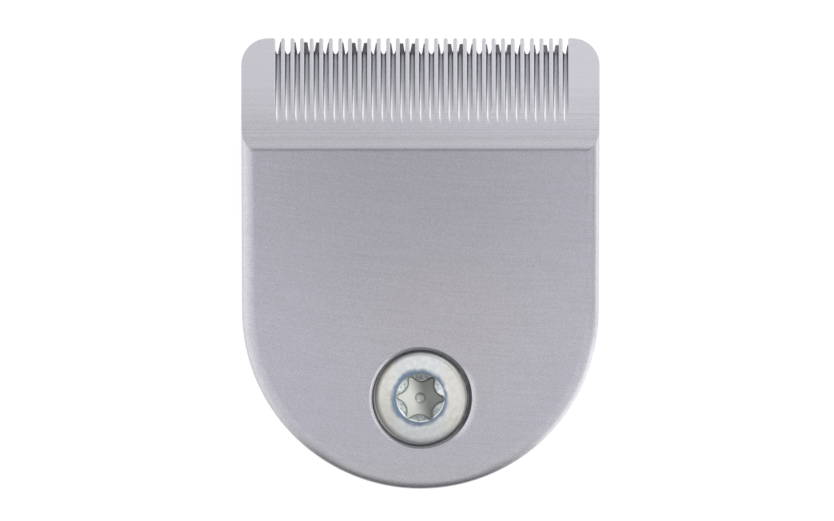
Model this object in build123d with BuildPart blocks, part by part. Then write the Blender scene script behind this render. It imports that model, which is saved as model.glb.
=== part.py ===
"""Hair clipper blade set: steel comb, sliding cutter with its drive fork, spring, carrier and screw.

The set lies on the carrier's rear rim. +Y points to the tooth tips, +Z out of the comb's front face,
and the origin is the middle of the rear side. All sizes are millimetres and degrees.
"""
import os
from math import acos, atan2, cos, hypot, radians, sin, tan

from build123d import *

# Comb blade
comb_width = 32.0            # across the tooth row
comb_length = 40.2           # tooth tips to round end
comb_thickness = 3.0
end_radius = 15.9            # round end
corner_radius = 2.4          # corners beside the tooth row
edge_roll_width = 1.1        # rolled edge round the front face, wider than deep
edge_roll_depth = 0.57
bevel_length = 9.9           # ground face, tips to ridge
tip_thickness = 0.36
tip_blunting = 0.2           # length of the blunted front edge at the tips
relief_start = 5.0           # tips to the relief groove in the back
relief_width = 3.2
relief_depth = 0.35

# Comb slots, cut by a thin round-rimmed wheel in a straight pass
slot_count = 31
slot_pitch = 0.855
slot_width = 0.5
slot_root = 1.42             # tips to where a slot breaks through the back
slot_runout = 7.6            # tips to where a slot runs out on the ground face
wheel_rim_excess = 0.05      # crown radius of the wheel's rim beyond half the slot
tooth_tip_radius = 0.16
tooth_row_shift = 0.125      # tooth row to the right of the middle

# Cutter blade
cutter_pitch_ratio = 1.25    # cutter pitch over comb pitch
cutter_length = 9.2
cutter_thickness = 1.4
cutter_setback = 0.47        # comb tips to cutter tips
cutter_tip_width = 0.3
cutter_flank_angle = 10.0
cutter_corner = 0.4          # chamfer that keeps the outer corners under the comb's
cutter_edge_thickness = 0.5  # at the cutter's tips
cutter_underside_bevel = 2.8
gullet_depth = 1.25
gullet_rounding = 0.4        # root radius over root width
cutter_relief_start = 3.2    # cutter tips to the hollow in its face
cutter_relief_width = 3.6
cutter_relief_depth = 0.2
cutter_offset = -0.08        # rest position in the stroke
cutter_skew = 0.65           # play in the spring lets the cutter sit slightly askew
cutter_stroke = 1.1          # travel to each side
cutter_film = 0.02           # oil film between cutter and comb

# Drive fork
driver_plate = 1.2
driver_length = 4.8
fork_gap = 4.6               # takes the drive pin
fork_prong = 2.0
fork_end_gap = 0.5           # fork end above the carrier's rear rim
fork_lead_in = 0.4
driver_corner = 0.6
peg_diameter = 2.0
peg_spacing = 6.4
peg_recess = 0.3             # peg end below the cutter's face
peg_clearance = 0.02

# Screw with a six-lobe socket
screw_end_gap = 8.1          # round end to screw axis
head_diameter = 8.5
head_height = 1.65
head_edge_radius = 0.45
head_recess = 0.25           # head below the comb's front face
head_clearance = 0.1         # round the head in its counterbore
counterbore_chamfer = 0.2
thread_diameter = 5.0
thread_length = 6.4
thread_end_chamfer = 0.5
thread_clearance = 0.05
screw_hole_clearance = 0.2
socket_lobes = 6
socket_width = 4.4           # across the lobes
socket_flute = 0.58          # depth of the valleys between lobes
socket_lobe_radius = 0.4
socket_draft = 10.0          # lean of the socket's walls
socket_depth = 1.05          # at the rim of its conical floor
socket_floor_drop = 0.55
socket_ring = 0.35           # width of the lead-in ring
socket_ring_depth = 0.08
socket_cone_depth = 0.45     # depth that the lead-in cone reaches at the valleys
socket_dimple_radius = 0.7   # of the punch that marks the floor
socket_dimple_depth = 0.1
screw_turn = -3.0            # angle at which the driven screw stopped

# Carrier
carrier_height = 7.2
carrier_inset = 0.7          # inside the comb's outline
carrier_wall = 1.5
carrier_corner = 1.5
carrier_rim_chamfer = 0.4
deck_thickness = 1.5
bay_clearance = 0.4          # round and under the moving cutter
boss_wall = 1.6
boss_end_gap = 0.8           # boss end above the rear rim
rib_thickness = 1.2
rib_height = 1.8
pin_diameter = 2.4
pin_height = 1.3
pin_clearance = 0.05
pin_spacing = 23.2
pin_y = -1.0
snap_length = 5.0
snap_height = 1.4
snap_depth = 0.6
snap_rise = 1.4              # snap ridge above the rear rim
snap_y = 2.0

# Brass insert
insert_wall = 0.8
insert_flange_width = 0.7
insert_flange_height = 0.7
insert_length = 4.6
insert_groove_depth = 0.3
insert_groove_width = 1.0
insert_clearance = 0.02

# Pressure spring
spring_thickness = 0.4
spring_eye = 10.0
spring_neck = 6.0
spring_yoke_offset = 7.2     # screw axis to the middle of the yoke
spring_yoke = 3.6
spring_arm_width = 3.0
spring_arm_gap = 0.6         # arm to the moving fork
spring_bend_radius = 1.5
spring_dip = 0.7             # arm's lowest bend below its crest
spring_crest_run = 4.2       # lowest bend to crest
spring_tail = 1.2
spring_tail_drop = 0.35
spring_film = 0.03
spring_clearance = 0.25

# Places that follow from the sizes above
tip_y = comb_length / 2
end_y = -comb_length / 2
arc_y = end_y + end_radius
side_reach = hypot(comb_width / 2, tip_y - arc_y)
side_lean = acos(end_radius / side_reach) - atan2(tip_y - arc_y, comb_width / 2)
ridge_y = tip_y - bevel_length
comb_back = carrier_height
comb_front = comb_back + comb_thickness
bevel_slope = (comb_thickness - tip_thickness) / bevel_length
screw_y = end_y + screw_end_gap
head_top = comb_front - head_recess
head_seat = head_top - head_height
counterbore_diameter = head_diameter + 2 * head_clearance
screw_hole = thread_diameter + 2 * screw_hole_clearance
socket_valley = socket_width / 2 - socket_flute
wheel_rim_radius = slot_width / 2 + wheel_rim_excess
cutter_pitch = slot_pitch * cutter_pitch_ratio
cutter_teeth = round(slot_count / cutter_pitch_ratio) + 1
cutter_width = cutter_teeth * cutter_pitch
relief_length = cutter_width + 2 * (cutter_stroke + bay_clearance)
cutter_tip_y = tip_y - cutter_setback
cutter_top = comb_back - cutter_film
cutter_bottom = cutter_top - cutter_thickness
skew_slope = tan(radians(cutter_skew))
driver_width = fork_gap + 2 * fork_prong
driver_y = driver_length / 2 - cutter_length
driver_front_y = cutter_tip_y + driver_y + driver_length / 2 + driver_width / 2 * skew_slope
deck_bottom = comb_back - deck_thickness
deck_front_y = cutter_tip_y - cutter_length - cutter_width / 2 * skew_slope - bay_clearance
carrier_front_y = driver_front_y + bay_clearance + carrier_wall
bay_floor = cutter_bottom - bay_clearance
insert_diameter = thread_diameter + 2 * insert_wall
insert_flange = insert_diameter + 2 * insert_flange_width
boss_diameter = insert_flange + 2 * boss_wall
insert_bottom = boss_end_gap
insert_top = insert_bottom + insert_length
yoke_y = screw_y + spring_yoke_offset
bend_y = yoke_y + spring_yoke / 2
crest_y = cutter_tip_y + driver_y
spring_arm_spacing = driver_width + 2 * (cutter_stroke + spring_arm_gap) + spring_arm_width
spring_sheet_z = comb_back - spring_film - spring_thickness / 2
crest_z = cutter_bottom - spring_film - spring_thickness / 2


def side_x(y):
    """Half width of the comb's outline on its straight, slightly tapered sides."""
    return comb_width / 2 - (tip_y - y) * tan(side_lean)


def screw_polar(radius, angle):
    """A point at this radius and angle (radians) about the screw's axis."""
    return (radius * cos(angle), screw_y + radius * sin(angle))


# Outline of the comb, seen from the front: sides tangent to the round end
with BuildLine() as comb_edge:
    foot = (end_radius * cos(side_lean), arc_y - end_radius * sin(side_lean))
    right_side = Line((comb_width / 2, tip_y), foot)
    round_end = ThreePointArc(right_side @ 1, (0, end_y), (-foot[0], foot[1]))
    Line(round_end @ 1, (-comb_width / 2, tip_y))
with BuildSketch() as comb_plan:
    with BuildLine():
        add(comb_edge.line)
        Line((-comb_width / 2, tip_y), (comb_width / 2, tip_y))
    make_face()
    fillet(comb_plan.vertices().group_by(Axis.Y)[-1], radius=corner_radius)

# One slot: the wheel passes through root and run-out, and the mouth rounds two tooth tips
root_point = Vector(0, tip_y - slot_root, comb_back)
runout_point = Vector(0, tip_y - slot_runout, comb_back + tip_thickness + slot_runout * bevel_slope)
rim_sag = wheel_rim_radius - (wheel_rim_radius**2 - (slot_width / 2) ** 2) ** 0.5

with BuildPart() as slot_tool:
    with BuildSketch(Plane(runout_point, x_dir=(1, 0, 0), z_dir=root_point - runout_point)):
        with BuildLine():
            rim = ThreePointArc((-slot_width / 2, -rim_sag), (0, 0), (slot_width / 2, -rim_sag))
            Polyline(
                rim @ 1,
                (slot_width / 2, -comb_thickness),
                (-slot_width / 2, -comb_thickness),
                rim @ 0,
            )
        make_face()
    extrude(amount=2 * slot_runout, both=True)
    with BuildSketch(Plane.XY.offset(comb_back)):
        mouth_width = slot_width + 2 * tooth_tip_radius
        with Locations((0, tip_y - tooth_tip_radius)):
            Rectangle(mouth_width, 2 * tooth_tip_radius, align=(Align.CENTER, Align.MIN))
            with GridLocations(mouth_width, 0, 2, 1):
                Circle(tooth_tip_radius, mode=Mode.SUBTRACT)
    extrude(amount=comb_thickness)

# Comb blade
with BuildPart() as comb_blade:
    with BuildSketch(Plane.XY.offset(comb_back)):
        add(comb_plan.sketch)
    extrude(amount=comb_thickness)

    # rolled edge along both sides and the round end
    front_edge = comb_edge.line.moved(Location((0, 0, comb_front)))
    with BuildSketch(Plane(front_edge @ 0, x_dir=(-1, 0, 0), z_dir=front_edge % 0)):
        Rectangle(2 * edge_roll_width, 2 * edge_roll_depth)
        with Locations((edge_roll_width, edge_roll_depth)):
            Ellipse(edge_roll_width, edge_roll_depth, mode=Mode.SUBTRACT)
    sweep(path=front_edge, mode=Mode.SUBTRACT)

    # ground bevel and blunted tips, cut straight across the row
    with BuildSketch(Plane.YZ):
        blunt_z = tip_thickness + tip_blunting * bevel_slope
        with BuildLine():
            Polyline(
                (ridge_y, comb_front),
                (tip_y - tip_blunting, comb_back + blunt_z),
                (tip_y, comb_back + tip_thickness / 2),
                (tip_y + tip_thickness, comb_back),
                (tip_y + tip_thickness, comb_front + tip_thickness),
                (ridge_y, comb_front + tip_thickness),
                close=True,
            )
        make_face()
    extrude(amount=comb_width, both=True, mode=Mode.SUBTRACT)

    # counterbored screw hole
    with Locations((0, screw_y, comb_front)):
        CounterBoreHole(screw_hole / 2, counterbore_diameter / 2, comb_front - head_seat, comb_thickness)
    bore_rim = comb_blade.edges().filter_by(GeomType.CIRCLE).group_by(Axis.Z)[-1]
    chamfer(bore_rim.filter_by(lambda edge: edge.is_closed), length=counterbore_chamfer)

    # relief groove behind the cutting land, and blind holes for the carrier's pins
    with BuildSketch(Plane.XY.offset(comb_back)):
        with Locations((0, tip_y - relief_start)):
            Rectangle(relief_length, relief_width, align=(Align.CENTER, Align.MAX))
    extrude(amount=relief_depth, mode=Mode.SUBTRACT)
    with BuildSketch(Plane.XY.offset(comb_back)):
        with Locations((0, pin_y)):
            with GridLocations(pin_spacing, 0, 2, 1):
                Circle(pin_diameter / 2 + pin_clearance)
    extrude(amount=pin_height + pin_clearance, mode=Mode.SUBTRACT)

    # tooth row
    with Locations((tooth_row_shift, 0, 0)):
        with GridLocations(slot_pitch, 0, slot_count, 1):
            add(slot_tool.part, mode=Mode.SUBTRACT)
comb_blade.part.label = "comb_blade"

# Cutter blade, in its own plane: tips along the plane's x axis, face up
cutter_plane = Plane(
    origin=(cutter_offset, cutter_tip_y, cutter_top),
    x_dir=(cos(radians(cutter_skew)), -sin(radians(cutter_skew)), 0),
    z_dir=(0, 0, 1),
)
with BuildPart() as cutter_blade:
    with BuildSketch(cutter_plane) as cutter_plan:
        Rectangle(cutter_width, cutter_length, align=(Align.CENTER, Align.MAX))
        chamfer(cutter_plan.vertices().group_by(Axis.Y)[-1], length=cutter_corner)
    extrude(amount=-cutter_thickness)

    # bevel under the teeth
    cutter_side = Plane(cutter_plane.origin, x_dir=cutter_plane.y_dir, z_dir=cutter_plane.x_dir)
    with BuildSketch(cutter_side):
        with BuildLine():
            Polyline(
                (-cutter_underside_bevel, -cutter_thickness),
                (0, -cutter_edge_thickness),
                (0, -cutter_thickness),
                close=True,
            )
        make_face()
    extrude(amount=cutter_width, both=True, mode=Mode.SUBTRACT)

    # gullets between the teeth
    gullet_mouth = cutter_pitch - cutter_tip_width
    gullet_root = gullet_mouth - 2 * gullet_depth * tan(radians(cutter_flank_angle))
    with BuildSketch(cutter_plane) as gullets:
        with GridLocations(cutter_pitch, 0, cutter_teeth - 1, 1):
            Polygon(
                (-gullet_mouth / 2, 0),
                (-gullet_root / 2, -gullet_depth),
                (gullet_root / 2, -gullet_depth),
                (gullet_mouth / 2, 0),
                align=None,
            )
        fillet(gullets.vertices().group_by(Axis.Y)[0], radius=gullet_rounding * gullet_root)
    extrude(amount=-cutter_thickness, mode=Mode.SUBTRACT)

    # hollow in the face, and holes for the fork's pegs
    with BuildSketch(cutter_plane):
        with Locations((0, -cutter_relief_start)):
            Rectangle(2 * cutter_width, cutter_relief_width, align=(Align.CENTER, Align.MAX))
    extrude(amount=-cutter_relief_depth, mode=Mode.SUBTRACT)
    with BuildSketch(cutter_plane):
        with Locations((0, driver_y)):
            with GridLocations(peg_spacing, 0, 2, 1):
                Circle(peg_diameter / 2 + peg_clearance)
    extrude(amount=-cutter_thickness, mode=Mode.SUBTRACT)
cutter_blade.part.label = "cutter_blade"

# Drive fork under the cutter
driver_plane = cutter_plane.offset(-cutter_thickness)
with BuildPart() as cutter_driver:
    fork_length = cutter_bottom - driver_plate - fork_end_gap
    with BuildSketch(driver_plane):
        with Locations((0, driver_y)):
            RectangleRounded(driver_width, driver_length, driver_corner)
    extrude(amount=-driver_plate - fork_length)
    fork_root = -driver_plate
    fork_end = -driver_plate - fork_length
    with BuildSketch(Plane(driver_plane.origin, x_dir=driver_plane.x_dir, z_dir=-driver_plane.y_dir)):
        Polygon(
            (-fork_gap / 2, fork_root),
            (fork_gap / 2, fork_root),
            (fork_gap / 2, fork_end + fork_lead_in),
            (fork_gap / 2 + fork_lead_in, fork_end),
            (-fork_gap / 2 - fork_lead_in, fork_end),
            (-fork_gap / 2, fork_end + fork_lead_in),
            align=None,
        )
    extrude(amount=cutter_length, mode=Mode.SUBTRACT)
    with BuildSketch(driver_plane):
        with Locations((0, driver_y)):
            with GridLocations(peg_spacing, 0, 2, 1):
                Circle(peg_diameter / 2)
    extrude(amount=cutter_thickness - peg_recess)
cutter_driver.part.label = "cutter_driver"

# Screw socket: six lobes joined by six inward arcs, drafted walls and a conical floor
screw_axis = Axis((0, screw_y, 0), (0, 0, 1))
lobe_centre = socket_width / 2 - socket_lobe_radius
half_step = radians(180 / socket_lobes)
valley_radius = (
    socket_lobe_radius**2
    - lobe_centre**2
    - socket_valley**2
    + 2 * lobe_centre * socket_valley * cos(half_step)
) / (2 * (socket_valley - socket_lobe_radius - lobe_centre * cos(half_step)))
valley_centre = socket_valley + valley_radius
lobe_share = socket_lobe_radius / (socket_lobe_radius + valley_radius)
join_x = lobe_centre + lobe_share * (valley_centre * cos(half_step) - lobe_centre)
join_y = lobe_share * valley_centre * sin(half_step)
join_radius = hypot(join_x, join_y)
join_angle = atan2(join_y, join_x)
with BuildPart() as socket_tool:
    with BuildSketch(Plane.XY.offset(head_top)):
        with BuildLine():
            for lobe in range(socket_lobes):
                middle = radians(screw_turn) + 2 * lobe * half_step
                lobe_start = screw_polar(join_radius, middle - join_angle)
                lobe_end = screw_polar(join_radius, middle + join_angle)
                next_start = screw_polar(join_radius, middle + 2 * half_step - join_angle)
                ThreePointArc(lobe_start, screw_polar(socket_width / 2, middle), lobe_end)
                ThreePointArc(lobe_end, screw_polar(socket_valley, middle + half_step), next_start)
        make_face()
    extrude(amount=-socket_depth - socket_floor_drop, taper=socket_draft)
    with BuildSketch(Plane.YZ):
        with BuildLine():
            Polyline(
                (screw_y, head_top),
                (screw_y + socket_width / 2 + socket_ring, head_top),
                (screw_y + socket_width / 2 + socket_ring, head_top - socket_depth),
                (screw_y, head_top - socket_depth - socket_floor_drop),
                close=True,
            )
        make_face()
    revolve(axis=screw_axis, mode=Mode.INTERSECT)

# Screw
with BuildPart() as comb_screw:
    with BuildSketch(Plane.YZ):
        with BuildLine():
            Polyline(
                (screw_y, head_top),
                (screw_y + head_diameter / 2, head_top),
                (screw_y + head_diameter / 2, head_seat),
                (screw_y + thread_diameter / 2, head_seat),
                (screw_y + thread_diameter / 2, head_seat - thread_length + thread_end_chamfer),
                (screw_y + thread_diameter / 2 - thread_end_chamfer, head_seat - thread_length),
                (screw_y, head_seat - thread_length),
                close=True,
            )
        make_face()
    revolve(axis=screw_axis)
    head_rim = comb_screw.edges().filter_by(GeomType.CIRCLE).group_by(Axis.Z)[-1]
    fillet(head_rim, radius=head_edge_radius)

    # lead-in ring and cone of the socket
    with BuildSketch(Plane.YZ):
        with BuildLine():
            Polyline(
                (screw_y, head_top),
                (screw_y + socket_width / 2 + socket_ring, head_top),
                (screw_y + socket_width / 2, head_top - socket_ring_depth),
                (screw_y + socket_valley, head_top - socket_cone_depth),
                (screw_y, head_top - socket_cone_depth),
                close=True,
            )
        make_face()
    revolve(axis=screw_axis, mode=Mode.SUBTRACT)

    # socket, with a punch mark in the middle of its floor
    add(socket_tool.part, mode=Mode.SUBTRACT)
    dimple_z = head_top - socket_depth - socket_floor_drop - socket_dimple_depth + socket_dimple_radius
    with Locations((0, screw_y, dimple_z)):
        Sphere(socket_dimple_radius, mode=Mode.SUBTRACT)
comb_screw.part.label = "comb_screw"

# Carrier outline: the comb's outline drawn in, and cut off behind the teeth
with BuildSketch() as carrier_plan:
    add(comb_plan.sketch)
    offset(amount=-carrier_inset)
    with Locations((0, carrier_front_y)):
        Rectangle(2 * comb_width, comb_length, align=(Align.CENTER, Align.MIN), mode=Mode.SUBTRACT)
    fillet(carrier_plan.vertices().group_by(Axis.Y)[-1], radius=carrier_corner)

# Flat shape of the spring: eye, neck, yoke and two arms
arm_reach = crest_y + spring_tail - yoke_y
with BuildSketch() as spring_plan:
    with Locations((0, screw_y)):
        Circle(spring_eye / 2)
        Rectangle(spring_neck, spring_yoke_offset, align=(Align.CENTER, Align.MIN))
    with Locations((0, yoke_y)):
        Rectangle(spring_arm_spacing + spring_arm_width, spring_yoke)
        with GridLocations(spring_arm_spacing, 0, 2, 1):
            Rectangle(spring_arm_width, arm_reach, align=(Align.CENTER, Align.MIN))

# Carrier
with BuildPart() as carrier:
    with BuildSketch():
        add(carrier_plan.sketch)
    extrude(amount=carrier_height)
    chamfer(carrier.faces().sort_by(Axis.Z)[0].edges(), length=carrier_rim_chamfer)
    with BuildSketch():
        add(carrier_plan.sketch)
        offset(amount=-carrier_wall)
    extrude(amount=deck_bottom, mode=Mode.SUBTRACT)

    # bay for the moving cutter, and notches where the spring's arms pass the deck
    with BuildSketch(Plane.XY.offset(bay_floor)):
        with Locations((0, deck_front_y)):
            Rectangle(2 * comb_width, comb_length, align=(Align.CENTER, Align.MIN))
    extrude(amount=carrier_height, mode=Mode.SUBTRACT)
    with BuildSketch(Plane.XY.offset(deck_bottom)):
        with Locations((0, bend_y - spring_clearance)):
            with GridLocations(spring_arm_spacing, 0, 2, 1):
                Rectangle(
                    spring_arm_width + 2 * spring_clearance,
                    deck_front_y - bend_y + 2 * spring_clearance,
                    align=(Align.CENTER, Align.MIN),
                )
    extrude(amount=deck_thickness, mode=Mode.SUBTRACT)

    # screw boss with three stiffening ribs
    with BuildSketch(Plane.XY.offset(boss_end_gap)):
        with Locations((0, screw_y)):
            Circle(boss_diameter / 2)
    extrude(amount=deck_bottom - boss_end_gap)
    with BuildSketch(Plane.XY.offset(deck_bottom - rib_height)):
        add(carrier_plan.sketch)
        with Locations((0, screw_y)):
            Rectangle(2 * comb_width, rib_thickness, mode=Mode.INTERSECT)
    extrude(amount=rib_height)
    with BuildSketch(Plane.XY.offset(deck_bottom - rib_height)):
        with Locations((0, end_y + carrier_inset + carrier_wall / 2)):
            Rectangle(rib_thickness, screw_end_gap - carrier_inset, align=(Align.CENTER, Align.MIN))
    extrude(amount=rib_height)

    # screw hole, insert seat and the shallow recess for the spring
    with Locations((0, screw_y, comb_back)):
        Hole(screw_hole / 2)
    with BuildSketch():
        with Locations((0, screw_y)):
            Circle(insert_diameter / 2 + insert_clearance)
    extrude(amount=insert_top + insert_clearance, mode=Mode.SUBTRACT)
    with BuildSketch():
        with Locations((0, screw_y)):
            Circle(insert_flange / 2 + insert_clearance)
    extrude(amount=insert_bottom + insert_flange_height + insert_clearance, mode=Mode.SUBTRACT)
    with BuildSketch(Plane.XY.offset(comb_back)):
        add(spring_plan.sketch)
        offset(amount=spring_clearance)
        with Locations((0, bend_y + spring_clearance)):
            Rectangle(2 * comb_width, comb_length, align=(Align.CENTER, Align.MIN), mode=Mode.SUBTRACT)
    extrude(amount=-spring_thickness - 2 * spring_film, mode=Mode.SUBTRACT)

    # pins that locate the comb
    with BuildSketch(Plane.XY.offset(comb_back)):
        with Locations((0, pin_y)):
            with GridLocations(pin_spacing, 0, 2, 1):
                Circle(pin_diameter / 2)
    extrude(amount=pin_height)

    # ramped snap ridges inside the side walls
    snap_x = side_x(snap_y) - carrier_inset - carrier_wall
    with BuildSketch(Plane((0, snap_y, snap_rise), x_dir=(1, 0, 0), z_dir=(0, -1, 0))):
        Polygon(
            (snap_x + carrier_wall / 2, 0),
            (snap_x, 0),
            (snap_x - snap_depth, snap_height / 2),
            (snap_x, snap_height),
            (snap_x + carrier_wall / 2, snap_height),
            align=None,
        )
        mirror(about=Plane.YZ)
    extrude(amount=snap_length / 2, both=True)
carrier.part.label = "carrier"

# Brass insert, flanged at the rear and grooved to hold in the plastic
with BuildPart() as threaded_insert:
    with BuildSketch(Plane.XY.offset(insert_bottom)):
        with Locations((0, screw_y)):
            Circle(insert_diameter / 2)
    extrude(amount=insert_length)
    with BuildSketch(Plane.XY.offset(insert_bottom)):
        with Locations((0, screw_y)):
            Circle(insert_flange / 2)
    extrude(amount=insert_flange_height)
    with BuildSketch(Plane.XY.offset(insert_bottom + insert_length / 2)):
        with Locations((0, screw_y)):
            Circle(insert_diameter)
            Circle(insert_diameter / 2 - insert_groove_depth, mode=Mode.SUBTRACT)
    extrude(amount=insert_groove_width, mode=Mode.SUBTRACT)
    with Locations((0, screw_y, insert_top)):
        Hole(thread_diameter / 2 + thread_clearance)
threaded_insert.part.label = "threaded_insert"

# Pressure spring, bent from one sheet
with BuildPart() as pressure_spring:
    with BuildSketch(Plane.YZ):
        with BuildLine():
            FilletPolyline(
                (screw_y - spring_eye, spring_sheet_z),
                (bend_y, spring_sheet_z),
                (crest_y - spring_crest_run, crest_z - spring_dip),
                (crest_y, crest_z),
                (crest_y + spring_tail, crest_z - spring_tail_drop),
                radius=spring_bend_radius,
            )
        trace(line_width=spring_thickness)
    extrude(amount=comb_width / 2, both=True)
    with BuildSketch():
        add(spring_plan.sketch)
    extrude(amount=comb_front, mode=Mode.INTERSECT)
    with Locations((0, screw_y, comb_front)):
        Hole(screw_hole / 2)
pressure_spring.part.label = "pressure_spring"

os.makedirs("parts", exist_ok=True)
export_step(comb_blade.part, "parts/comb_blade.step")
export_step(cutter_blade.part, "parts/cutter_blade.step")
export_step(cutter_driver.part, "parts/cutter_driver.step")
export_step(comb_screw.part, "parts/comb_screw.step")
export_step(carrier.part, "parts/carrier.step")
export_step(threaded_insert.part, "parts/threaded_insert.step")
export_step(pressure_spring.part, "parts/pressure_spring.step")
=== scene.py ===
"""Looks of the hair clipper blade: finishes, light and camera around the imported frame."""
import math

import bpy
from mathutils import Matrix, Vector


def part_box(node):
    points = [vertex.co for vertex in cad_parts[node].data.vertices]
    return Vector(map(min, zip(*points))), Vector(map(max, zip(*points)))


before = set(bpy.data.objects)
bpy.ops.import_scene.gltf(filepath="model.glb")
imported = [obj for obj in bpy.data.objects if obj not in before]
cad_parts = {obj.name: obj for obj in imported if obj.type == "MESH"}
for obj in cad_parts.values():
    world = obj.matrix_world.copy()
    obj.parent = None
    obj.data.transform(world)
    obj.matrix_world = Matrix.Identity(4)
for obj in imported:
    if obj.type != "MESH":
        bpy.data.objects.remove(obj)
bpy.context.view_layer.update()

# Places on the comb, in the frame's millimetres
MM = 0.001
comb_low, comb_high = (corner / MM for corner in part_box("comb_blade"))
comb_back, comb_front = comb_low.z, comb_high.z
tip_y, end_y = comb_high.y, comb_low.y
edge_x = comb_high.x
bevel_length = 9.9
tip_thickness = 0.36
ridge_y = tip_y - bevel_length
bevel_slope = (comb_front - comb_back - tip_thickness) / bevel_length
row_reach = 13.3
row_shift = 0.125
slot_pitch = 0.855
slot_width = 0.5
slot_root = 1.42
slot_runout = 7.6

# Marks on the comb's face: a stain with a ragged edge, and polish streaks that lean and bend
stain_middle = (3.0, -6.0)
stain_sway = 8.0
stain_inner = 8.0
stain_outer = 18.0
streak_lean = 0.10
streak_bend = -0.003
streak_share = 0.17

# Places on the screw and its counterbore; the shifts are seen in the photograph
screw_low, screw_high = (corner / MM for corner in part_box("comb_screw"))
screw_y = (screw_low.y + screw_high.y) / 2
screw_top = screw_high.z
head_radius = screw_high.x
rim_shift = 0.08
ring_shift = -0.1
socket_radius = 2.2
socket_depth = 1.05
cone_depth = 0.46
mouth_radius = 4.55
mouth_chamfer = 0.2
mouth_shift = 0.07

# Where the painted light on the counterbore's chamfer is strongest and the painted shade on the head's
# rim is darkest
upper_left = (-0.866, 0.5)

# Steel colours, each from the dark to the light end of its pattern
warm_steel = ((0.464, 0.450, 0.490), (0.696, 0.675, 0.734))
cool_steel = ((0.460, 0.456, 0.513), (0.690, 0.683, 0.769))
# Neutral steel for the rolled edge: a painted reflection tint standing in for the white tent that the
# edge reflects
neutral_edge_steel = ((0.458, 0.456, 0.488), (0.687, 0.684, 0.732))
ground_steel = ((0.450, 0.444, 0.486), (0.655, 0.650, 0.703))
lapped_steel = ((0.30, 0.27, 0.30), (0.40, 0.36, 0.39))
rolled_strip = ((0.50, 0.49, 0.47), (0.60, 0.59, 0.57))

# Colours that change from one place to another
# Slot steel from shallow to deep, darkened with depth by painted shade
slot_steel_and_depth_shade = ((0.515, 0.52, 0.54), (0.385, 0.39, 0.415))
plating_cool_to_warm = ((0.872, 0.898, 0.915), (0.855, 0.843, 0.796))
burr_dark_to_light = ((0.42, 0.46, 0.49), (0.76, 0.79, 0.79))
# Painted light and shade in the socket: the floor goes from lit to shaded, the walls from shaded to lit,
# and the lip gets a painted highlight
socket_floor_lit_to_shaded = ((0.77, 0.795, 0.745), (0.235, 0.245, 0.235))
socket_wall_shaded_to_lit = ((0.22, 0.26, 0.24), (0.50, 0.52, 0.51))
socket_lip_highlight = (0.68, 0.70, 0.69)
blue_ring = (0.21, 0.275, 0.365)

# Colours of the pieces behind the comb
black_plastic = ((0.016, 0.016, 0.017), (0.03, 0.03, 0.032))
white_plastic = ((0.74, 0.73, 0.68), (0.80, 0.79, 0.75))
brass = ((0.72, 0.52, 0.24), (0.80, 0.61, 0.30))

# Roughness of the comb's surfaces, the first two from one end of their pattern to the other
face_roughness = (0.33, 0.43)
ground_roughness = (0.40, 0.50)
slot_roughness = 0.36

# Levels of the light tent and of the floor's own light
tent_level = 1.05
floor_glow = 0.90

# The photograph's frame: its size, its scale and the pixel over the frame's origin
image_width = 834
image_height = 521
pixels_per_mm = 11.218
origin_pixel = (420.4, 263.35)
camera_distance = 1600.0
sensor_width = 36.0


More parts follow.
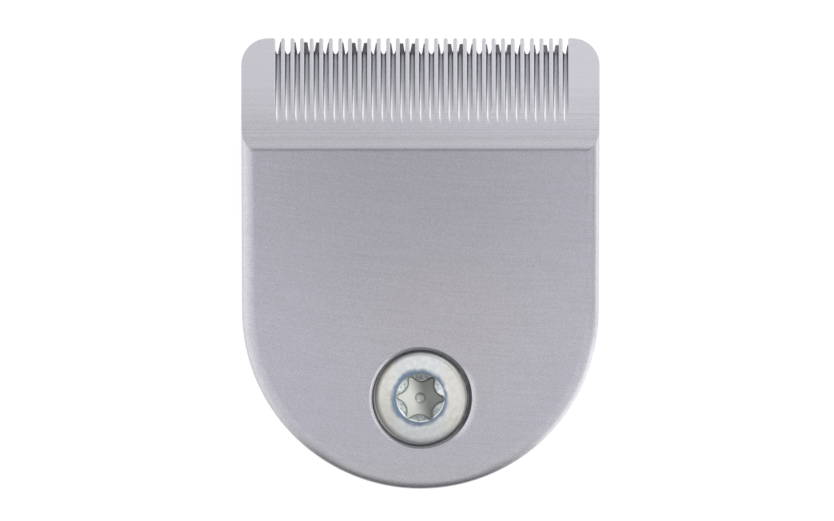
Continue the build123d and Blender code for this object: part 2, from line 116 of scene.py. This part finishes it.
class Finish:
    """A node material whose textures and masks are worked out in the frame's millimetres."""

    def __init__(self, name, metallic=0.0):
        self.material = bpy.data.materials.new(name)
        self.material.use_nodes = True
        self.nodes = self.material.node_tree.nodes
        self.links = self.material.node_tree.links
        self.shader = self.nodes["Principled BSDF"]
        self.shader.inputs["Metallic"].default_value = metallic
        place = self.nodes.new("ShaderNodeTexCoord").outputs["Object"]
        self.place = self.scaled(place, (1 / MM, 1 / MM, 1 / MM))
        split = self.nodes.new("ShaderNodeSeparateXYZ")
        self.links.new(self.place, split.inputs[0])
        self.x, self.y, self.z = split.outputs

    def feed(self, socket, value):
        """Links a socket to another socket, or sets its own value."""
        if isinstance(value, bpy.types.NodeSocket):
            self.links.new(value, socket)
        else:
            socket.default_value = value

    def scaled(self, vector, factors):
        """Multiplies a vector by three numbers."""
        node = self.nodes.new("ShaderNodeVectorMath")
        node.operation = "MULTIPLY"
        self.links.new(vector, node.inputs[0])
        node.inputs[1].default_value = factors
        return node.outputs[0]

    def vector(self, x, y, z):
        """A place made of three numbers."""
        node = self.nodes.new("ShaderNodeCombineXYZ")
        for socket, value in zip(node.inputs, (x, y, z)):
            self.feed(socket, value)
        return node.outputs[0]

    def math(self, operation, *values):
        """The result of one math node."""
        node = self.nodes.new("ShaderNodeMath")
        node.operation = operation
        for socket, value in zip(node.inputs, values):
            self.feed(socket, value)
        return node.outputs[0]

    def product(self, first, *others):
        """Multiplies masks."""
        for other in others:
            first = self.math("MULTIPLY", first, other)
        return first

    def ramp(self, value, start, end, low=0.0, high=1.0):
        """Goes smoothly from low to high as value goes from start to end."""
        node = self.nodes.new("ShaderNodeMapRange")
        node.interpolation_type = "SMOOTHSTEP"
        for socket, given in zip(node.inputs, (value, start, end, low, high)):
            self.feed(socket, given)
        return node.outputs[0]

    def fade(self, value, start, end):
        """Goes smoothly from 1 to 0 as value goes from start to end."""
        return self.ramp(value, start, end, 1.0, 0.0)

    def window(self, value, start, full, fading, end):
        """Rises from 0 at start to 1 at full, and falls from fading to 0 at end."""
        return self.product(self.ramp(value, start, full), self.fade(value, fading, end))

    def mix(self, share, first, second):
        """Blends two numbers."""
        node = self.nodes.new("ShaderNodeMix")
        for index, value in ((0, share), (2, first), (3, second)):
            self.feed(node.inputs[index], value)
        return node.outputs[0]

    def tint(self, share, first, second):
        """Blends two colours."""
        node = self.nodes.new("ShaderNodeMix")
        node.data_type = "RGBA"
        for index, value in ((0, share), (6, first), (7, second)):
            if isinstance(value, tuple):
                value = (*value, 1.0)
            self.feed(node.inputs[index], value)
        return node.outputs[2]

    def shade(self, colour, level):
        """Multiplies a colour by a number."""
        node = self.nodes.new("ShaderNodeVectorMath")
        node.operation = "SCALE"
        self.links.new(colour, node.inputs[0])
        self.feed(node.inputs["Scale"], level)
        return node.outputs[0]

    def gain(self, colour, mask, amount):
        """Makes a colour lighter by the given share where the mask is 1, or darker if it is negative."""
        return self.shade(colour, self.math("MULTIPLY_ADD", mask, amount, 1.0))

    def facing(self, direction, x, y):
        """How far the vector x, y reaches in a direction."""
        return self.math("MULTIPLY_ADD", x, direction[0], self.math("MULTIPLY", y, direction[1]))

    def distance(self, x, y):
        """Distance in the frame's XY plane from the point x, y."""
        across = self.math("SUBTRACT", self.x, x)
        along = self.math("SUBTRACT", self.y, y)
        squares = self.math("ADD", self.product(across, across), self.product(along, along))
        return self.math("SQRT", squares)

    def noise(self, stretch, detail=3.0, roughness=0.5, place=None):
        """Noise with the given number of cells to the millimetre along x, y and z."""
        node = self.nodes.new("ShaderNodeTexNoise")
        self.links.new(self.scaled(place or self.place, stretch), node.inputs["Vector"])
        node.inputs["Scale"].default_value = 1.0
        node.inputs["Detail"].default_value = detail
        node.inputs["Roughness"].default_value = roughness
        return node.outputs["Fac"]

    def bump(self, height, depth):
        """Raises the surface by height times depth, in millimetres."""
        node = self.nodes.new("ShaderNodeBump")
        node.inputs["Distance"].default_value = depth * MM
        self.links.new(height, node.inputs["Height"])
        self.links.new(node.outputs[0], self.shader.inputs["Normal"])

    def surface(self, colour, roughness):
        """Feeds the shader and returns the material."""
        self.feed(self.shader.inputs["Base Color"], colour)
        self.feed(self.shader.inputs["Roughness"], roughness)
        return self.material


def comb_zones(finish, depth, from_tip, in_row):
    """Shares of the ground bevel and of the cut slots; the rest is tumbled."""
    off_plane = finish.ramp(depth, 0.015, 0.05)
    above_ridge = finish.ramp(finish.y, ridge_y - 0.02, ridge_y + 0.02)
    rolled = finish.product(off_plane, finish.math("SUBTRACT", 1.0, in_row))
    bevel = finish.product(above_ridge, finish.math("SUBTRACT", 1.0, rolled))
    behind_tip = finish.ramp(from_tip, 0.2, 0.35)
    slot = finish.product(off_plane, in_row, above_ridge, behind_tip)
    return bevel, slot


def tumbled_body(finish, grain, roll):
    """Grain and leaning polish streaks, warmer at a stain, and tinted neutral on the rolled edge as a
    painted reflection of the white tent.
    """
    lean = finish.math("MULTIPLY_ADD", finish.x, streak_bend, streak_lean)
    drift = finish.math("MULTIPLY_ADD", finish.x, lean, finish.y)
    polish = finish.vector(finish.x, drift, finish.z)
    streaks = finish.noise((0.16, 4.5, 4.5), detail=4.0, roughness=0.65, place=polish)
    tumbled = finish.ramp(finish.mix(streak_share, grain, streaks), 0.28, 0.72)
    cloud = finish.noise((0.08, 0.15, 0.08), detail=2.0)
    from_stain = finish.math("MULTIPLY_ADD", cloud, stain_sway, finish.distance(*stain_middle))
    off_end = finish.ramp(finish.y, end_y + 1.1, end_y + 6.1)
    cool_share = finish.product(finish.ramp(from_stain, stain_inner, stain_outer), off_end)
    warm = finish.tint(tumbled, *warm_steel)
    cool = finish.tint(tumbled, *cool_steel)
    # Painted reflection: the rolled edge is tinted neutral where it reflects the white tent
    neutral_edge = finish.tint(tumbled, *neutral_edge_steel)
    return finish.tint(finish.ramp(roll, 0.0, 0.12), finish.tint(cool_share, warm, cool), neutral_edge)


def edge_light(finish, body, roll):
    """Light and shade that the room gives to the right edge and the round end."""
    # A dark and then a bright line down the right edge
    body = finish.shade(body, finish.ramp(finish.x, edge_x - 0.64, edge_x - 0.49, 1.0, 0.91))
    body = finish.shade(body, finish.ramp(finish.x, edge_x - 0.39, edge_x - 0.19, 1.0, 1.2))
    # A brighter outer rim at the lower right
    at_right = finish.ramp(finish.x, edge_x - 6.49, edge_x - 4.49)
    low = finish.fade(finish.y, end_y + 12.6, end_y + 15.6)
    rim = finish.product(at_right, low, finish.ramp(roll, 0.08, 0.4))
    body = finish.gain(body, rim, 0.36)
    # A light line at the foot of the face, left of that rim
    left_of_rim = finish.fade(finish.x, 4.5, 7.0)
    lowest = finish.fade(finish.y, end_y + 1.6, end_y + 3.1)
    foot = finish.product(left_of_rim, lowest, finish.window(roll, 0.0, 0.06, 0.14, 0.25))
    body = finish.gain(body, foot, 0.22)
    # A little less light where the right edge starts to roll
    start = finish.window(finish.x, edge_x - 1.29, edge_x - 1.14, edge_x - 0.94, edge_x - 0.74)
    start = finish.product(start, finish.ramp(finish.y, end_y + 13.1, end_y + 17.1))
    return finish.gain(body, start, -0.06)


def face_shade(finish, body, roll, below_ridge):
    """A dark line below the ridge, and less light towards the round end."""
    ridge_line = finish.fade(finish.math("ABSOLUTE", below_ridge), 0.0, 0.35)
    ridge_line = finish.product(ridge_line, finish.fade(roll, 0.0, 0.06))
    body = finish.gain(body, ridge_line, -0.32)
    return finish.shade(body, finish.ramp(finish.y, end_y + 1.0, end_y + 17.1, 0.885, 1.0))


def ground_bevel(finish, grain, lines, from_tip, below_ridge):
    """Lines ground along the row, clearer and darker towards the ridge; painted shade darkens the strip
    just above the ridge, and painted light makes the bevel lighter towards the right.
    """
    near_ridge = finish.ramp(from_tip, 3.0, bevel_length)
    pattern = finish.mix(finish.mix(near_ridge, 0.36, 0.42), grain, lines)
    contrast = finish.mix(near_ridge, 0.34, 1.0)
    pattern = finish.mix(contrast, 0.5, finish.ramp(pattern, 0.33, 0.67))
    ground = finish.tint(pattern, *ground_steel)
    ground = finish.gain(ground, near_ridge, -0.14)
    # Painted shade: darker just above the ridge
    ground = finish.shade(ground, finish.ramp(below_ridge, -0.25, 0.0, 1.0, 0.88))
    # Painted light: lighter towards the right, where the key light is
    return finish.shade(ground, finish.ramp(finish.x, -8.0, 14.0, 0.97, 1.03))


def lit_teeth(finish, ground, across, from_tip, in_row):
    """A lighter right edge on each tooth, fading out with the slots."""
    left_wall = -slot_width / 2
    edge = finish.window(across, left_wall - 0.12, left_wall - 0.09, left_wall - 0.03, left_wall)
    beside_slot = finish.fade(from_tip, slot_runout - 2.0, slot_runout - 0.6)
    return finish.gain(ground, finish.product(edge, in_row, beside_slot), 0.16)


def wheel_cut(finish, depth, across, from_tip):
    """Slot colour with painted shade: darker with depth, in the right half of the run-out and at the
    root.
    """
    # Painted shade: darker with depth, in the right half of the run-out and near the root
    cut = finish.tint(finish.ramp(depth, 0.0, 0.5), *slot_steel_and_depth_shade)
    running_out = finish.ramp(from_tip, slot_runout - 3.6, slot_runout - 2.0)
    right_half = finish.product(finish.ramp(across, 0.02, 0.18), running_out)
    cut = finish.gain(cut, right_half, -0.17)
    return finish.shade(cut, finish.ramp(from_tip, slot_root - 0.02, slot_root + 0.23, 0.68, 1.0))


def bore_mouth(finish, colour, roll):
    """Light and shade on the counterbore's chamfer, and a glow on the face beside it."""
    radius = finish.distance(mouth_shift, screw_y)
    right = finish.math("DIVIDE", finish.math("SUBTRACT", finish.x, mouth_shift), radius)
    up = finish.math("DIVIDE", finish.math("SUBTRACT", finish.y, screw_y), radius)
    chamfer = finish.ramp(finish.facing(upper_left, right, up), -0.8, 0.8, 0.12, 1.2)
    chamfer = finish.mix(finish.ramp(up, -0.95, -0.4), 0.5, chamfer)
    right_glow = finish.ramp(finish.facing((1.0, -0.14), right, up), 0.65, 0.95, 0.0, 0.46)
    right_glow = finish.product(right_glow, finish.fade(radius, mouth_radius, mouth_radius + 0.6))
    left_glow = finish.ramp(right, -0.8, -0.3, 0.5, 0.0)
    left_glow = finish.product(left_glow, finish.fade(radius, mouth_radius, mouth_radius + 0.15))
    beside = finish.math("ADD", 1.0, finish.math("ADD", right_glow, left_glow))
    in_mouth = finish.fade(radius, mouth_radius - 0.03, mouth_radius + 0.01)
    in_mouth = finish.product(in_mouth, finish.fade(roll, mouth_chamfer, 2 * mouth_chamfer))
    return finish.shade(colour, finish.mix(in_mouth, beside, chamfer))


def comb_steel():
    """Tumbled face and rolled edge, bevel ground along the row, and slots cut by a wheel."""
    finish = Finish("comb_steel", metallic=1.0)
    from_tip = finish.math("SUBTRACT", tip_y, finish.y)
    below_ridge = finish.math("SUBTRACT", ridge_y, finish.y)
    roll = finish.math("SUBTRACT", comb_front, finish.z)
    bevel_plane = finish.math("MULTIPLY_ADD", from_tip, bevel_slope, comb_back + tip_thickness)
    depth = finish.math("SUBTRACT", bevel_plane, finish.z)
    in_row = finish.fade(finish.math("ABSOLUTE", finish.x), row_reach, row_reach + 0.1)
    from_middle = finish.math("SUBTRACT", finish.x, row_shift)
    across = finish.math("WRAP", from_middle, slot_pitch / 2, -slot_pitch / 2)
    grain = finish.noise((10.0, 14.0, 14.0), detail=2.0, roughness=0.7)
    lines = finish.noise((0.008, 6.0, 2.0), detail=3.0, roughness=0.7)

    bevel, slot = comb_zones(finish, depth, from_tip, in_row)
    body = tumbled_body(finish, grain, roll)
    body = edge_light(finish, body, roll)
    body = face_shade(finish, body, roll, below_ridge)
    ground = ground_bevel(finish, grain, lines, from_tip, below_ridge)
    ground = lit_teeth(finish, ground, across, from_tip, in_row)
    cut = wheel_cut(finish, depth, across, from_tip)
    colour = finish.tint(slot, finish.tint(bevel, body, ground), cut)
    colour = bore_mouth(finish, colour, roll)

    finish.bump(finish.mix(bevel, grain, lines), 0.010)
    face_rough = finish.mix(grain, *face_roughness)
    ground_rough = finish.mix(lines, *ground_roughness)
    roughness = finish.mix(slot, finish.mix(bevel, face_rough, ground_rough), slot_roughness)
    return finish.surface(colour, roughness)


def cutter_steel():
    """Lapped steel with faint cross lines."""
    finish = Finish("cutter_steel", metallic=1.0)
    lines = finish.noise((0.3, 20.0, 6.0), detail=3.0)
    finish.bump(lines, 0.004)
    return finish.surface(finish.tint(lines, *lapped_steel), finish.mix(lines, 0.25, 0.35))


def screw_head(finish, radius, along, mottle):
    """Mottled plating with painted shade towards the lower end, a painted dark line round the rim and a
    painted highlight at its outer edge.
    """
    flanks = finish.ramp(finish.math("ABSOLUTE", finish.x), 1.0, 3.5)
    warm = finish.ramp(finish.mix(0.5, mottle, flanks), 0.3, 0.7)
    head = finish.tint(warm, *plating_cool_to_warm)
    # Painted shade: darker towards the lower end
    height = finish.facing((0.2, 1.0), finish.x, along)
    head = finish.shade(head, finish.ramp(height, -4.0, 1.5, 0.71, 1.0))
    # Painted shade: a dark line round the rim, darkest towards the upper left
    rim = finish.distance(0.0, screw_y + rim_shift)
    inner_side = finish.ramp(rim, head_radius - 0.70, head_radius - 0.25)
    outer_side = finish.fade(rim, head_radius - 0.22, head_radius - 0.09)
    darkness = finish.math("MULTIPLY_ADD", finish.facing(upper_left, finish.x, along), 0.0875, 0.48)
    head = finish.gain(head, finish.product(inner_side, outer_side, darkness), -1.0)
    # Painted highlight: lighter at the outermost edge
    head = finish.shade(head, finish.ramp(radius, head_radius - 0.17, head_radius - 0.05, 1.0, 1.12))
    patina = finish.noise((2.2, 2.2, 2.2), detail=4.0, roughness=0.6)
    return finish.shade(head, finish.ramp(patina, 0.3, 0.7, 0.93, 1.05))


def ring_share(finish):
    """Share of the bluish ring round the socket, with a ragged outer edge."""
    ragged = finish.math("SUBTRACT", finish.noise((1.1, 1.1, 1.1), detail=4.0), 0.5)
    reach = finish.math("MULTIPLY_ADD", ragged, 0.5, finish.distance(ring_shift, screw_y))
    return finish.fade(reach, socket_radius + 0.12, socket_radius + 0.54)


def screw_socket(finish, radius, along):
    """Burred lead-in cone with painted shade towards the lower side and a painted highlight on the lip;
    painted light and shade make the floor lighter at the left and the walls lighter at the right.
    """
    sunk = finish.math("SUBTRACT", screw_top, finish.z)
    side = finish.facing((1.0, 0.3), finish.x, along)
    burr = finish.noise((3.5, 3.5, 3.5), detail=3.0, roughness=0.6)
    cone = finish.tint(finish.ramp(burr, 0.35, 0.65), *burr_dark_to_light)
    # Painted shade: the cone is darker towards the lower side
    cone = finish.shade(cone, finish.ramp(along, -1.5, 0.6, 0.55, 1.0))
    # Painted light and shade: the floor is lighter at the left, the walls at the right
    floor = finish.tint(finish.ramp(side, -0.8, 0.7), *socket_floor_lit_to_shaded)
    wall = finish.tint(finish.ramp(side, -0.8, 0.8), *socket_wall_shaded_to_lit)
    inside = finish.tint(finish.ramp(sunk, socket_depth - 0.02, socket_depth + 0.06), wall, floor)
    inside = finish.tint(finish.ramp(sunk, cone_depth - 0.04, cone_depth + 0.04), cone, inside)
    # Painted highlight on the lip, broken up by the burr
    at_lip = finish.ramp(radius, socket_radius - 0.17, socket_radius - 0.12)
    lip = finish.product(at_lip, finish.ramp(burr, 0.3, 0.5, 0.3, 1.0))
    return finish.tint(lip, inside, socket_lip_highlight)


def plated_screw():
    """Zinc plating over a cold-headed blank, with a bluish ring round the socket."""
    finish = Finish("plated_screw", metallic=1.0)
    radius = finish.distance(0.0, screw_y)
    along = finish.math("SUBTRACT", finish.y, screw_y)
    mottle = finish.noise((0.7, 0.7, 0.7), detail=5.0, roughness=0.65)
    fine = finish.noise((6.0, 6.0, 6.0), detail=3.0, roughness=0.6)
    head = screw_head(finish, radius, along, mottle)
    head = finish.tint(ring_share(finish), head, blue_ring)
    socket = screw_socket(finish, radius, along)
    colour = finish.tint(finish.fade(radius, socket_radius - 0.08, socket_radius), head, socket)
    finish.bump(finish.mix(0.5, mottle, fine), 0.008)
    return finish.surface(colour, finish.mix(fine, 0.34, 0.46))


def carrier_plastic():
    """Black moulded plastic with a fine spark-eroded texture."""
    finish = Finish("carrier_plastic")
    texture = finish.noise((9.0, 9.0, 9.0), detail=4.0, roughness=0.6)
    finish.bump(texture, 0.02)
    return finish.surface(finish.tint(texture, *black_plastic), finish.mix(texture, 0.42, 0.58))


def driver_plastic():
    """Natural white acetal."""
    finish = Finish("driver_plastic")
    texture = finish.noise((3.0, 3.0, 3.0), detail=3.0)
    finish.bump(texture, 0.006)
    return finish.surface(finish.tint(texture, *white_plastic), finish.mix(texture, 0.32, 0.42))


def insert_brass():
    """Turned brass."""
    finish = Finish("insert_brass", metallic=1.0)
    mottle = finish.noise((4.0, 4.0, 4.0), detail=4.0)
    finish.bump(mottle, 0.006)
    return finish.surface(finish.tint(mottle, *brass), finish.mix(mottle, 0.25, 0.38))


def spring_steel():
    """Rolled strip with lines along the arms."""
    finish = Finish("spring_steel", metallic=1.0)
    lines = finish.noise((14.0, 0.2, 2.0), detail=3.0)
    finish.bump(lines, 0.005)
    return finish.surface(finish.tint(lines, *rolled_strip), finish.mix(lines, 0.26, 0.38))


def dress(node, material):
    """Gives a CAD node its finish."""
    mesh_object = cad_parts[node]
    mesh_object.data.materials.clear()
    mesh_object.data.materials.append(material)


def matt_sheet(name, size, grey):
    """A flat square sheet of matt grey; returns it and its shader."""
    bpy.ops.mesh.primitive_plane_add(size=size)
    sheet = bpy.context.object
    sheet.name = name
    material = bpy.data.materials.new(name)
    material.use_nodes = True
    shader = material.node_tree.nodes["Principled BSDF"]
    shader.inputs["Base Color"].default_value = (grey, grey, grey, 1.0)
    shader.inputs["Roughness"].default_value = 0.9
    sheet.data.materials.append(material)
    return sheet, shader


def make_floor():
    """Pale floor, lit a little from below like a light table."""
    floor, shader = matt_sheet("floor", size=4.0, grey=0.15)
    shader.inputs["Specular IOR Level"].default_value = 0.0
    shader.inputs["Emission Color"].default_value = (1.0, 1.0, 1.0, 1.0)
    shader.inputs["Emission Strength"].default_value = floor_glow


def softbox(name, azimuth, elevation, width, height, radiance, distance=0.6):
    """A rectangular area light; azimuth 0 is towards +Y, 90 towards +X."""
    light = bpy.data.lights.new(name, "AREA")
    light.shape = "RECTANGLE"
    light.size = width
    light.size_y = height
    light.energy = radiance * math.pi * width * height
    lamp = bpy.data.objects.new(name, light)
    turn = math.radians(azimuth)
    rise = math.radians(elevation)
    level = math.cos(rise)
    place = Vector((math.sin(turn) * level, math.cos(turn) * level, math.sin(rise))) * distance
    lamp.location = place
    lamp.rotation_euler = (-place).to_track_quat("-Z", "Y").to_euler()
    bpy.context.scene.collection.objects.link(lamp)


def make_light():
    """A bright tent with a stronger light beyond the right end of the tooth row."""
    world = bpy.data.worlds.new("studio")
    world.use_nodes = True
    background = world.node_tree.nodes["Background"]
    background.inputs["Color"].default_value = (tent_level, tent_level, tent_level, 1.0)
    bpy.context.scene.world = world
    softbox("key", azimuth=55, elevation=36, width=0.45, height=0.40, radiance=1.3)
    softbox("right_flank", azimuth=112, elevation=14, width=0.60, height=0.20, radiance=0.45)
    softbox("left_flank", azimuth=-90, elevation=24, width=1.20, height=0.55, radiance=0.22)
    bpy.context.scene.view_settings.view_transform = "Standard"


def card(name, place, width, height, grey, tilt=0):
    """A matt card, seen only in the metal; it lies flat, or is tilted about X by some degrees."""
    sheet, _ = matt_sheet(name, size=1.0, grey=grey)
    sheet.scale = (width, height, 1.0)
    sheet.rotation_euler.x = math.radians(tilt)
    sheet.location = place
    sheet.visible_camera = False
    sheet.visible_diffuse = False
    sheet.visible_shadow = False


def make_cards():
    """The lens above the ridge and the dark side of the room beyond the round end."""
    card("lens", (-0.003, 0.013, 0.087), width=0.0385, height=0.0375, grey=0.01)
    card("sleeve", (0.067, 0.010, 0.070), width=0.066, height=0.044, grey=0.28)
    card("flag", (-0.006, -0.045, 0.016), width=0.064, height=0.032, grey=0.17, tilt=90)
    card("flag_top", (-0.006, -0.045, 0.058), width=0.064, height=0.052, grey=0.45, tilt=90)


def make_camera():
    """Looks straight down on the comb's face, framed as in the photograph."""
    camera = bpy.data.cameras.new("camera")
    camera.sensor_width = sensor_width
    camera.lens = sensor_width * camera_distance / (image_width / pixels_per_mm)
    camera.clip_start = 0.01
    camera.clip_end = 10.0
    view = bpy.data.objects.new("camera", camera)
    offset_x = (image_width / 2 - origin_pixel[0]) / pixels_per_mm
    offset_y = (origin_pixel[1] - image_height / 2) / pixels_per_mm
    view.location = Vector((offset_x, offset_y, comb_front + camera_distance)) * MM
    bpy.context.scene.collection.objects.link(view)
    bpy.context.scene.camera = view


dress("comb_blade", comb_steel())
dress("cutter_blade", cutter_steel())
dress("comb_screw", plated_screw())
dress("carrier", carrier_plastic())
dress("cutter_driver", driver_plastic())
dress("threaded_insert", insert_brass())
dress("pressure_spring", spring_steel())
make_floor()
make_light()
make_cards()
make_camera()
